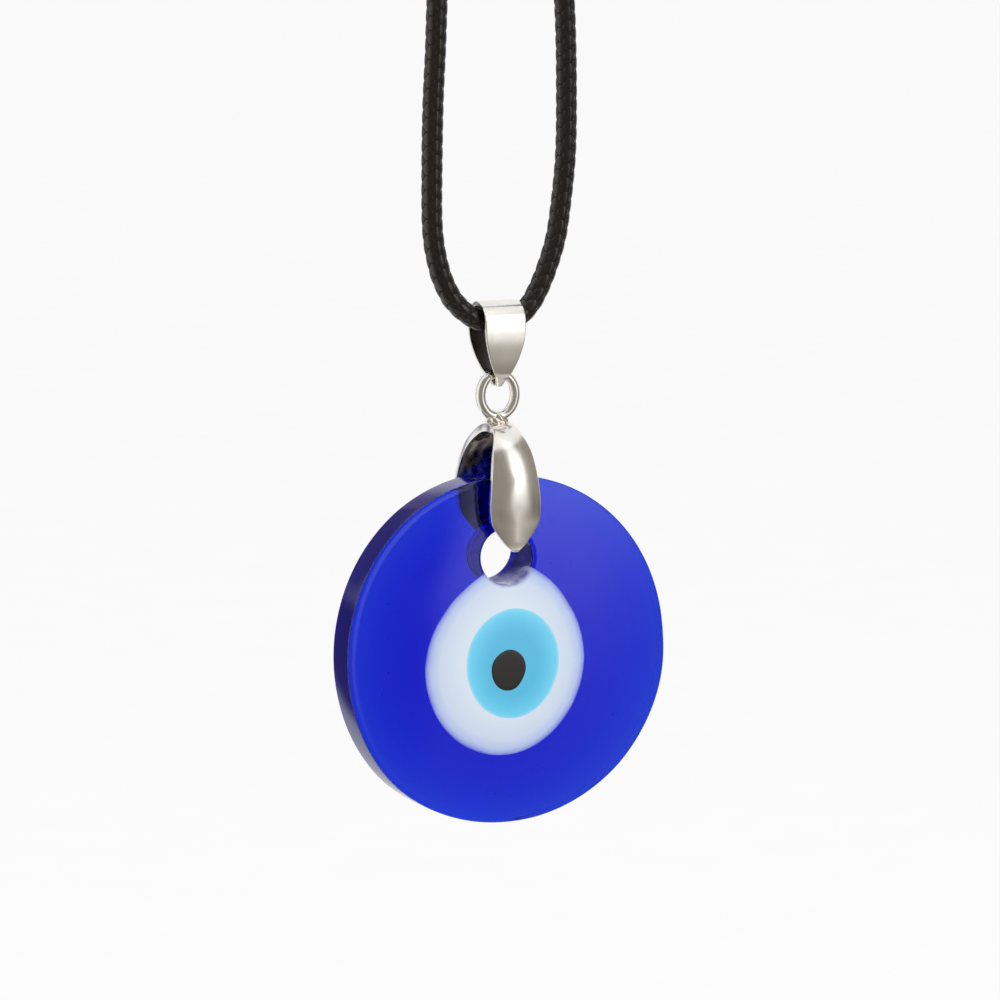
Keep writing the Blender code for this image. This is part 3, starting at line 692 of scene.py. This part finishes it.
def build_bore_film(look):
    """The thin dark skin that the forming pin left just inside the glass, round the hole."""
    spin = turns(200)
    edge = dome(*around_hole(HOLE_RADIUS + HOLE_MOUTH, spin)) - HOLE_MOUTH * 0.75
    rows = []
    shades = {"fade": [], "pale": [], "inside": []}
    to_the_back = np.linspace(-1, 1, 30)
    for depth, along in ((FILM_DEPTH, to_the_back), (FILM_DEPTH + FILM_THICKNESS, to_the_back[::-1])):
        for t in along:
            x, z = around_hole(HOLE_RADIUS + depth + FILM_FLARE * abs(t) ** 12, spin)
            rows.append(np.stack([x, edge * t, z], axis=1))
            shades["fade"].append(soft_step(t, *FILM_FADE) + 0 * spin)
            shades["pale"].append(soft_step(-np.sin(spin) - 0.25 * t, *FILM_PALE))
            shades["inside"].append(float(depth > FILM_DEPTH) + 0 * spin)
    points = np.array(rows) + GLASS_CENTRE
    item = lattice("bore_film", points, closed_rows=True, closed_columns=True, **shades)
    return finish_piece(item, "glass", "cobalt_glass", look)


def drape(x, z, lift):
    """Points on the disc's front, lifted off it; past the hole's mouth they run down its wall."""
    ring = HOLE_RADIUS + HOLE_MOUTH
    off_x, off_z = x - HOLE_ACROSS, z - HOLE_ABOVE
    away = np.hypot(off_x, off_z)
    unit_x, unit_z = off_x / away, off_z / away
    over = np.clip(ring - away, 0, None)
    turned = np.clip(over / HOLE_MOUTH, 0, math.pi / 2)
    deep = np.clip(over - HOLE_MOUTH * math.pi / 2, 0, None)
    inside = over > 0
    edge = dome(HOLE_ACROSS + unit_x * ring, HOLE_ABOVE + unit_z * ring)
    radial = np.where(inside, ring - HOLE_MOUTH * np.sin(turned), away)
    height = np.where(inside, edge - HOLE_MOUTH * (1 - np.cos(turned)) - deep, dome(x, z))
    slope = 2 * CROWN / GLASS_RADIUS**2
    normal = np.where(
        inside[..., None],
        np.stack([-unit_x * np.sin(turned), -np.cos(turned), -unit_z * np.sin(turned)], axis=-1),
        np.stack([slope * x, -np.ones_like(x), slope * z], axis=-1),
    )
    normal /= np.linalg.norm(normal, axis=-1)[..., None]
    place = np.stack([HOLE_ACROSS + unit_x * radial, -height, HOLE_ABOVE + unit_z * radial], axis=-1)
    return place + normal * np.asarray(lift)[..., None], normal, inside


def build_drop(name, node, slot, look, size):
    """A fused drop: its skin lies just proud of the glass and dips at the edge, its back is domed inside."""
    spin = turns(240)
    share = np.concatenate([np.linspace(0.004, 0.8, 46), np.linspace(0.8, 1, 34)[1:]])
    share, spin = np.meshgrid(share, spin, indexing="ij")
    up = np.sin(spin)
    tall = np.where(up > 0, size["upper"], size["lower"])
    half = size["half"] * np.ones_like(up)
    if size["taper"]:
        rising = np.clip(up, 0, 0.9999)
        half = half * np.where(up > 0, (1 - rising**1.85) ** 0.6 / np.sqrt(1 - rising**2), 1.0)
    grow = 1 + size["wobble"] * ripple(np.cos(spin) * MM, np.sin(spin) * MM, 1.6 * MM, 6.0)
    reach_x, reach_z = half * np.cos(spin) * grow, tall * up * grow
    centre_x, centre_z = size["centre"]
    x = centre_x + share * reach_x + size["lean"] * np.clip(share * up, 0, 1) ** 2
    z = centre_z + share * reach_z
    edge = (1 - share) * np.hypot(reach_x, reach_z)
    lift = size["proud"] - (size["proud"] - DROP_EDGE_LIFT) * share**10
    skin, normal, inside = drape(x, z, lift)
    sunk = size["depth"] * np.sqrt(np.clip(1 - share**2, 0, 1)) + 0.03 * MM
    under_face = skin + np.array((0.0, 1.0, 0.0)) * sunk[..., None]
    under_wall = skin - normal * DROP_SKIN
    ring = HOLE_RADIUS + HOLE_MOUTH
    away = np.hypot(x - HOLE_ACROSS, z - HOLE_ABOVE)
    close = np.clip((away - ring) / (0.5 * MM), 0, 1)[..., None]
    back = under_wall + (under_face - under_wall) * np.where(inside[..., None], 0, close)
    points = np.concatenate([skin, back[::-1]]) + GLASS_CENTRE
    deep = np.clip((ring - away) / MM, 0, 4)
    edge, deep = (np.concatenate([value, value[::-1]]) for value in (edge / MM, deep))
    item = lattice(name, points, closed_columns=True, caps=True, edge=edge, deep=deep)
    return finish_piece(item, "glass", slot, look, node)


SPECKS, SPECK_REACH, SPECK_DEPTH = 46, 15.0 * MM, 2.0 * MM
SPECK_LEAST, SPECK_RANGE = 0.02 * MM, 0.045 * MM
SPECK_RISES, SPECK_SIDES = 5, 8


def build_specks(look):
    """Grains and tiny bubbles caught in the glass, as one mesh of small uneven balls."""
    draw = np.random.default_rng(11)
    verts, faces = [], []
    unit = ball_points(np.linspace(-1.3, 1.3, SPECK_RISES), SPECK_SIDES).reshape(-1, 3)
    index = np.arange(len(unit)).reshape(SPECK_RISES, SPECK_SIDES)
    index = np.hstack([index, index[:, :1]])
    quads = quad_corners(index)
    while len(verts) < SPECKS:
        radius, angle = SPECK_REACH * math.sqrt(draw.random()), draw.random() * 2 * math.pi
        x, z = radius * math.cos(angle), radius * math.sin(angle)
        y = (draw.random() * 2 - 1) * SPECK_DEPTH
        size = SPECK_LEAST + SPECK_RANGE * draw.random() ** 2
        in_hole = math.hypot(x - HOLE_ACROSS, z - HOLE_ABOVE) < HOLE_RADIUS + HOLE_MOUTH
        in_eye = math.hypot(x - WHITE["centre"][0], z - WHITE["centre"][1]) < WHITE["upper"]
        if in_hole or in_eye:
            continue
        stretch = np.array((1 + 0.4 * draw.random(), 1.0, 1 + 0.4 * draw.random()))
        base = len(verts) * len(unit)
        verts.append(unit * size * stretch + (x, y, z) + GLASS_CENTRE)
        faces += (quads + base).tolist()
        faces += [(index[0, :-1][::-1] + base).tolist(), (index[-1, :-1] + base).tolist()]
    mesh = bpy.data.meshes.new("glass_specks")
    mesh.from_pydata(np.vstack(verts).tolist(), [], faces)
    mesh.shade_smooth()
    face_outwards(mesh)
    return finish_piece(placed("glass_specks", mesh), "glass", "cobalt_glass", look)


# Materials

THREADS = 2.5  # fine threads in each stitch


def new_material(name, **values):
    """A material with these values on its shader's sockets."""
    made = bpy.data.materials.new(name)
    made.use_nodes = True
    shader = made.node_tree.nodes["Principled BSDF"]
    for key, value in values.items():
        shader.inputs[key.replace("_", " ")].default_value = value
    return made, made.node_tree, shader


def srgb(red, green, blue):
    """A linear colour from 0 to 255 screen values."""
    linear = [((v / 255 + 0.055) / 1.055) ** 2.4 if v > 10.3 else v / 255 / 12.92 for v in (red, green, blue)]
    return (*linear, 1.0)


def node(tree, kind, **inputs):
    made = tree.nodes.new(kind)
    for key, value in inputs.items():
        made.inputs[key.replace("_", " ")].default_value = value
    return made


def object_noise(tree, scale, detail=3.0, roughness=0.55, stretch=None):
    """Noise in object space, in features of about 1/scale metres, stretched if asked."""
    place = tree.nodes.new("ShaderNodeTexCoord")
    noise = node(tree, "ShaderNodeTexNoise", Scale=scale, Detail=detail, Roughness=roughness)
    source = place.outputs["Object"]
    if stretch:
        mapping = tree.nodes.new("ShaderNodeMapping")
        mapping.inputs["Scale"].default_value = stretch
        tree.links.new(source, mapping.inputs["Vector"])
        source = mapping.outputs["Vector"]
    tree.links.new(source, noise.inputs["Vector"])
    return noise.outputs["Fac"]


def ramp(tree, source, stops):
    """A colour ramp over (place, colour) stops."""
    made = tree.nodes.new("ShaderNodeValToRGB")
    elements = made.color_ramp.elements
    while len(elements) < len(stops):
        elements.new(0.5)
    for element, (place, colour) in zip(elements, stops):
        element.position = place
        element.color = colour
    tree.links.new(source, made.inputs["Fac"])
    return made.outputs["Color"]


def spread(tree, source, low, high, from_low=0.0, from_high=1.0):
    made = node(tree, "ShaderNodeMapRange", From_Min=from_low, From_Max=from_high, To_Min=low, To_Max=high)
    tree.links.new(source, made.inputs["Value"])
    return made.outputs["Result"]


def feed(tree, socket, value):
    """Links a socket, or sets it if the value is a number or a colour."""
    if isinstance(value, (float, int, tuple)):
        socket.default_value = value
    else:
        tree.links.new(value, socket)


def blend_colour(tree, share, first, second, kind="MIX"):
    made = tree.nodes.new("ShaderNodeMix")
    made.data_type = "RGBA"
    made.blend_type = kind
    feed(tree, made.inputs["Factor"], share)
    feed(tree, made.inputs["A"], first)
    feed(tree, made.inputs["B"], second)
    return made.outputs["Result"]


def calculate(tree, operation, *values):
    made = tree.nodes.new("ShaderNodeMath")
    made.operation = operation
    for socket, value in zip(made.inputs, values):
        feed(tree, socket, value)
    return made.outputs["Value"]


def bump(tree, shader, source, distance, strength=1.0, after=None):
    made = node(tree, "ShaderNodeBump", Strength=strength, Distance=distance)
    tree.links.new(source, made.inputs["Height"])
    if after:
        tree.links.new(after, made.inputs["Normal"])
    tree.links.new(made.outputs["Normal"], shader.inputs["Normal"])
    return made.outputs["Normal"]


def attribute(tree, name):
    made = tree.nodes.new("ShaderNodeAttribute")
    made.attribute_name = name
    return made.outputs["Fac"]


def silver_material(name, colour, dark, roughness):
    """Plated silver with soft stains and fine scratches, whose inner side is painted dark as shade."""
    made, tree, shader = new_material(name, Metallic=1.0)
    stains = object_noise(tree, 700.0, 4.0)
    face = ramp(tree, stains, ((0.3, (*[c * 0.93 for c in colour], 1.0)), (0.7, (*colour, 1.0))))
    # The inner side, under the bend and behind the leaves, is blended to the dark colour: painted shade.
    inside = attribute(tree, "inside")
    tree.links.new(blend_colour(tree, inside, face, (*dark, 1.0)), shader.inputs["Base Color"])
    scratches = object_noise(tree, 2600.0, 2.0, 0.7, (1.0, 1.0, 0.12))
    worn = spread(tree, scratches, roughness * 0.85, roughness * 1.25, 0.35, 0.7)
    tree.links.new(worn, shader.inputs["Roughness"])
    bump(tree, shader, scratches, 0.003 * MM, 0.15)
    return made


def wax_material():
    """Black waxed cotton: dull and painted darker as shade in the grooves, a soft warm shine on the stitches,
    with fine threads.
    """
    made, tree, shader = new_material(
        "waxed_cord", Specular_Tint=(1.0, 0.9, 0.8, 1.0), Specular_IOR_Level=0.75
    )
    groove = attribute(tree, "groove")
    # The colour darkens from the stitches' crests into the grooves between them: painted shade.
    strands = ramp(tree, groove, ((0.1, srgb(11, 9, 7)), (0.5, srgb(8, 6, 5)), (0.9, srgb(3, 3, 2))))
    mottle = object_noise(tree, 1500.0, 3.0)
    uneven = ramp(tree, mottle, ((0.3, srgb(205, 200, 196)), (0.7, srgb(255, 255, 255))))
    tree.links.new(blend_colour(tree, 1.0, strands, uneven, "MULTIPLY"), shader.inputs["Base Color"])
    smooth = spread(tree, mottle, 0.24, 0.34, 0.3, 0.7)
    dull = spread(tree, groove, 0.2, 0.9, 0.25, 0.75)
    tree.links.new(calculate(tree, "MAXIMUM", smooth, dull), shader.inputs["Roughness"])
    turned = calculate(tree, "MULTIPLY", attribute(tree, "across"), 2 * math.pi * THREADS)
    braided = calculate(tree, "SUBTRACT", 1.0, attribute(tree, "melted"))
    threads = calculate(tree, "MULTIPLY", calculate(tree, "SINE", turned), braided)
    normal = bump(tree, shader, threads, 0.008 * MM, 0.35)
    bump(tree, shader, object_noise(tree, 4200.0, 2.0), 0.006 * MM, 0.3, normal)
    return made


def glass_waves(tree, shader):
    bump(tree, shader, object_noise(tree, 180.0, 1.0), 0.02 * MM, 0.3)


def cobalt_material():
    """Clear glass that soaks up red and most green, with a faintly wavy surface."""
    made, tree, shader = new_material(
        "cobalt_glass",
        Base_Color=(0.78, 0.78, 0.78, 1.0),
        Transmission_Weight=1.0,
        IOR=1.5,
        Roughness=0.05,
    )
    glass_waves(tree, shader)
    volume = node(tree, "ShaderNodeVolumeAbsorption", Color=(0.05, 0.36, 0.962, 1.0), Density=1300.0)
    tree.links.new(volume.outputs["Volume"], tree.nodes["Material Output"].inputs["Volume"])
    return made


def drop_material(name, stops, reach, mottled, hollow=None):
    """Opaque glossy glass whose colour runs from its edge inwards over this many millimetres."""
    made, tree, shader = new_material(name, Roughness=0.07)
    cloud = spread(tree, object_noise(tree, 420.0, 3.0), -mottled, mottled, 0.3, 0.7)
    shifted = calculate(tree, "ADD", attribute(tree, "edge"), cloud)
    colour = ramp(tree, spread(tree, shifted, 0.0, 1.0, 0.0, reach), stops)
    if hollow:
        streak = object_noise(tree, 1400.0, 3.0, 0.6, (1.0, 0.35, 1.0))
        wall = ramp(tree, streak, ((0.42, hollow[0]), (0.58, hollow[1])))
        deep = spread(tree, attribute(tree, "deep"), 0.0, 1.0, 0.1, 0.8)
        colour = blend_colour(tree, deep, colour, wall)
    tree.links.new(colour, shader.inputs["Base Color"])
    glass_waves(tree, shader)
    return made


def film_material():
    """Violet skin with faint lengthwise streaks, clear where it thins out and lavender low down."""
    made, tree, shader = new_material("bore_film", Roughness=0.4, Specular_IOR_Level=0.1)
    streaks = object_noise(tree, 1300.0, 3.0, 0.6, (1.0, 0.3, 1.0))
    violet = ((0.35, srgb(16, 8, 112)), (0.6, srgb(30, 22, 150)), (0.72, srgb(62, 54, 178)))
    within = ramp(tree, streaks, ((0.35, srgb(70, 56, 196)), (0.7, srgb(110, 96, 236))))
    milk = ramp(tree, streaks, ((0.4, srgb(140, 140, 216)), (0.66, srgb(188, 194, 240))))
    skin = blend_colour(tree, attribute(tree, "inside"), ramp(tree, streaks, violet), within)
    skin = blend_colour(tree, attribute(tree, "pale"), skin, milk)
    tree.links.new(skin, shader.inputs["Base Color"])
    tree.links.new(spread(tree, attribute(tree, "fade"), 1.0, 0.0), shader.inputs["Alpha"])
    return made


def speck_material():
    made, tree, shader = new_material("speck", Roughness=0.3)
    grains = ramp(tree, object_noise(tree, 900.0, 1.0), ((0.4, srgb(14, 12, 50)), (0.6, srgb(60, 60, 110))))
    tree.links.new(grains, shader.inputs["Base Color"])
    return made


# Studio

STUDIO_RADIUS = 0.8
FLOOR_Z = -0.4
FLOOR_RADIUS = 14.0

# Azimuths, elevations and edge softness in degrees, and the colour, of each part of the light tent's inside
TENT_WHITE = (0.95, 0.95, 0.95)
TENT_PARTS = (
    ((-200, 200), (-120, -50), 6, (0.60, 0.57, 0.52)),  # the table below
    ((-74, 92), (-50, 50), 3, (0.28, 0.257, 0.225)),  # the photographer's side
    ((-30, 8), (-48, -14), 6, (0.19, 0.17, 0.145)),
    ((48, 86), (-48, -4), 6, (0.17, 0.155, 0.13)),
    ((-163, -146), (-26, 8), 4, (0.14, 0.11, 0.15)),  # gaps at the back left
    ((-200, -152), (8, 31), 4, (0.20, 0.17, 0.32)),
    ((169, 200), (12, 34), 5, (0.38, 0.33, 0.55)),
)
TENT_TURNS, TENT_RISES = 240, 120
LAMP_AZIMUTH = (12, 19, 33, 50)  # where the big lamp's glow starts, is full, falls and ends
LAMP_ELEVATION, LAMP_SPREADS = 14, (16, 26)  # downwards and upwards
LAMP_GLOW = 1.6
LAMP_SLANT = 0.5  # degrees of azimuth that the glow's left side leans over for each degree up


def tent_light(azimuth, elevation):
    """The colours seen in these directions, in degrees."""
    light = np.ones((*azimuth.shape, 3)) * TENT_WHITE
    for azimuths, elevations, blur, colour in TENT_PARTS:
        share = np.ones_like(azimuth)
        for value, (start, end) in ((azimuth, azimuths), (elevation, elevations)):
            share = share * soft_step(value, start - blur, start + blur)
            share = share * (1 - soft_step(value, end - blur, end + blur))
        light += (np.array(colour) - light) * share[..., None]
    rise, full, fall, end = LAMP_AZIMUTH
    slanted = azimuth - LAMP_SLANT * np.clip(elevation + 3, 0, 12) * (1 - soft_step(elevation, 8, 20))
    lamp = soft_step(slanted, rise, full) * (1 - soft_step(azimuth, fall, end))
    spread_here = np.where(elevation < LAMP_ELEVATION, *LAMP_SPREADS)
    lamp = lamp * np.exp(-0.5 * ((elevation - LAMP_ELEVATION) / spread_here) ** 2)
    return light + LAMP_GLOW * lamp[..., None]


def build_tent():
    """The light tent round the object, which shows in reflections only."""
    turn = np.linspace(-180, 180, TENT_TURNS, endpoint=False)
    rise = np.linspace(-89.5, 89.5, TENT_RISES)
    turn, rise = np.meshgrid(turn, rise, indexing="ij")
    points = np.zeros((*turn.shape, 3))
    for i in range(TENT_TURNS):
        for k in range(TENT_RISES):
            points[i, k] = direction(math.radians(turn[i, k]), math.radians(rise[i, k]))
    light = tent_light(turn, rise)
    colours = {key: light[..., i] for i, key in enumerate(("red", "green", "blue"))}
    tent = lattice("light_tent", GLASS_CENTRE + points * STUDIO_RADIUS, closed_rows=True, **colours)
    made = bpy.data.materials.new("light_tent")
    made.use_nodes = True
    tree = made.node_tree
    tree.nodes.remove(tree.nodes["Principled BSDF"])
    mixed = tree.nodes.new("ShaderNodeCombineColor")
    for key in ("Red", "Green", "Blue"):
        tree.links.new(attribute(tree, key.lower()), mixed.inputs[key])
    glow = tree.nodes.new("ShaderNodeEmission")
    tree.links.new(mixed.outputs["Color"], glow.inputs["Color"])
    tree.links.new(glow.outputs["Emission"], tree.nodes["Material Output"].inputs["Surface"])
    tent.data.materials.append(made)
    tent.visible_camera = False
    tent.visible_diffuse = False
    tent.visible_transmission = False
    tent.visible_shadow = False


def area_light(name, azimuth, elevation, distance, size, power):
    """A square light that shows in no reflection; the tent is what the metal mirrors."""
    data = bpy.data.lights.new(name, "AREA")
    data.shape = "RECTANGLE"
    data.size = data.size_y = size
    data.energy = power
    item = placed(name, data)
    aim(item, Vector((0.0, 0.0, GLASS_CENTRE_Z)), math.radians(azimuth), math.radians(elevation), distance)
    item.visible_glossy = False
    item.visible_camera = False


def build_studio():
    world = bpy.data.worlds.new("studio")
    world.use_nodes = True
    sky = world.node_tree.nodes["Background"]
    sky.inputs["Color"].default_value = (1.0, 1.0, 1.0, 1.0)
    sky.inputs["Strength"].default_value = 1.0
    bpy.context.scene.world = world

    ring = np.concatenate([[0.001], np.linspace(0.3, FLOOR_RADIUS, 20)])
    spin = turns(96)
    radius, spin = np.meshgrid(ring, spin, indexing="ij")
    level = np.full_like(radius, FLOOR_Z)
    points = np.stack([radius * np.cos(spin), radius * np.sin(spin), level], axis=-1)
    floor = lattice("floor", points, closed_columns=True)
    floor.data.materials.append(floor_material())
    floor.visible_glossy = False

    build_tent()
    area_light("key", 45, 35, 0.9, 0.5, 1.0)
    area_light("top", 0, 85, 0.7, 0.6, 0.6)


def floor_material():
    """Pale matt board."""
    made, tree, shader = new_material("pale_floor", Roughness=0.9, Specular_IOR_Level=0.0)
    pale = ((0.0, (0.94, 0.94, 0.94, 1.0)), (1.0, (0.96, 0.96, 0.96, 1.0)))
    tree.links.new(ramp(tree, object_noise(tree, 30.0, 2.0), pale), shader.inputs["Base Color"])
    return made


def main():
    build_camera()
    bpy.context.scene.view_settings.view_transform = "Standard"
    build_cord(wax_material())

    # The dark second colour is painted shade on a bent sheet's inner side; the solder bead has no inner side,
    # so its own is never shown.
    silver = silver_material("silver_plate", (0.93, 0.905, 0.86), (0.20, 0.18, 0.16), 0.19)
    solder = silver_material("solder", (0.90, 0.87, 0.78), (0.4, 0.4, 0.4), 0.2)
    build_folded_bail(silver)
    build_pinch_bail(silver)
    build_prongs(silver)
    build_ring(silver, solder)

    build_glass(cobalt_material())
    build_bore_film(film_material())
    white_stops = (
        (0.0, srgb(84, 94, 208)),
        (0.05, srgb(140, 154, 218)),
        (0.16, srgb(176, 190, 226)),
        (0.42, srgb(198, 210, 229)),
        (1.0, srgb(209, 220, 232)),
    )
    hollow = (srgb(112, 108, 190), srgb(188, 192, 236))
    iris_stops = (
        (0.0, srgb(200, 219, 232)),
        (0.1, srgb(164, 214, 234)),
        (0.24, srgb(110, 202, 233)),
        (0.6, srgb(94, 190, 224)),
        (1.0, srgb(84, 180, 216)),
    )
    pupil_stops = ((0.0, srgb(56, 78, 86)), (0.08, srgb(30, 28, 26)), (1.0, srgb(26, 24, 22)))
    white = drop_material("white_glass", white_stops, 3.6, 0.08, hollow)
    iris = drop_material("light_blue_glass", iris_stops, 2.6, 0.05)
    pupil = drop_material("dark_glass", pupil_stops, 1.2, 0.03)
    build_drop("milk_white_drop", "white_drop", "white_glass", white, WHITE)
    build_drop("sky_blue_drop", "light_blue_drop", "light_blue_glass", iris, IRIS)
    build_drop("black_pupil", "pupil_drop", "dark_glass", pupil, PUPIL)
    build_specks(speck_material())
    build_studio()


main()
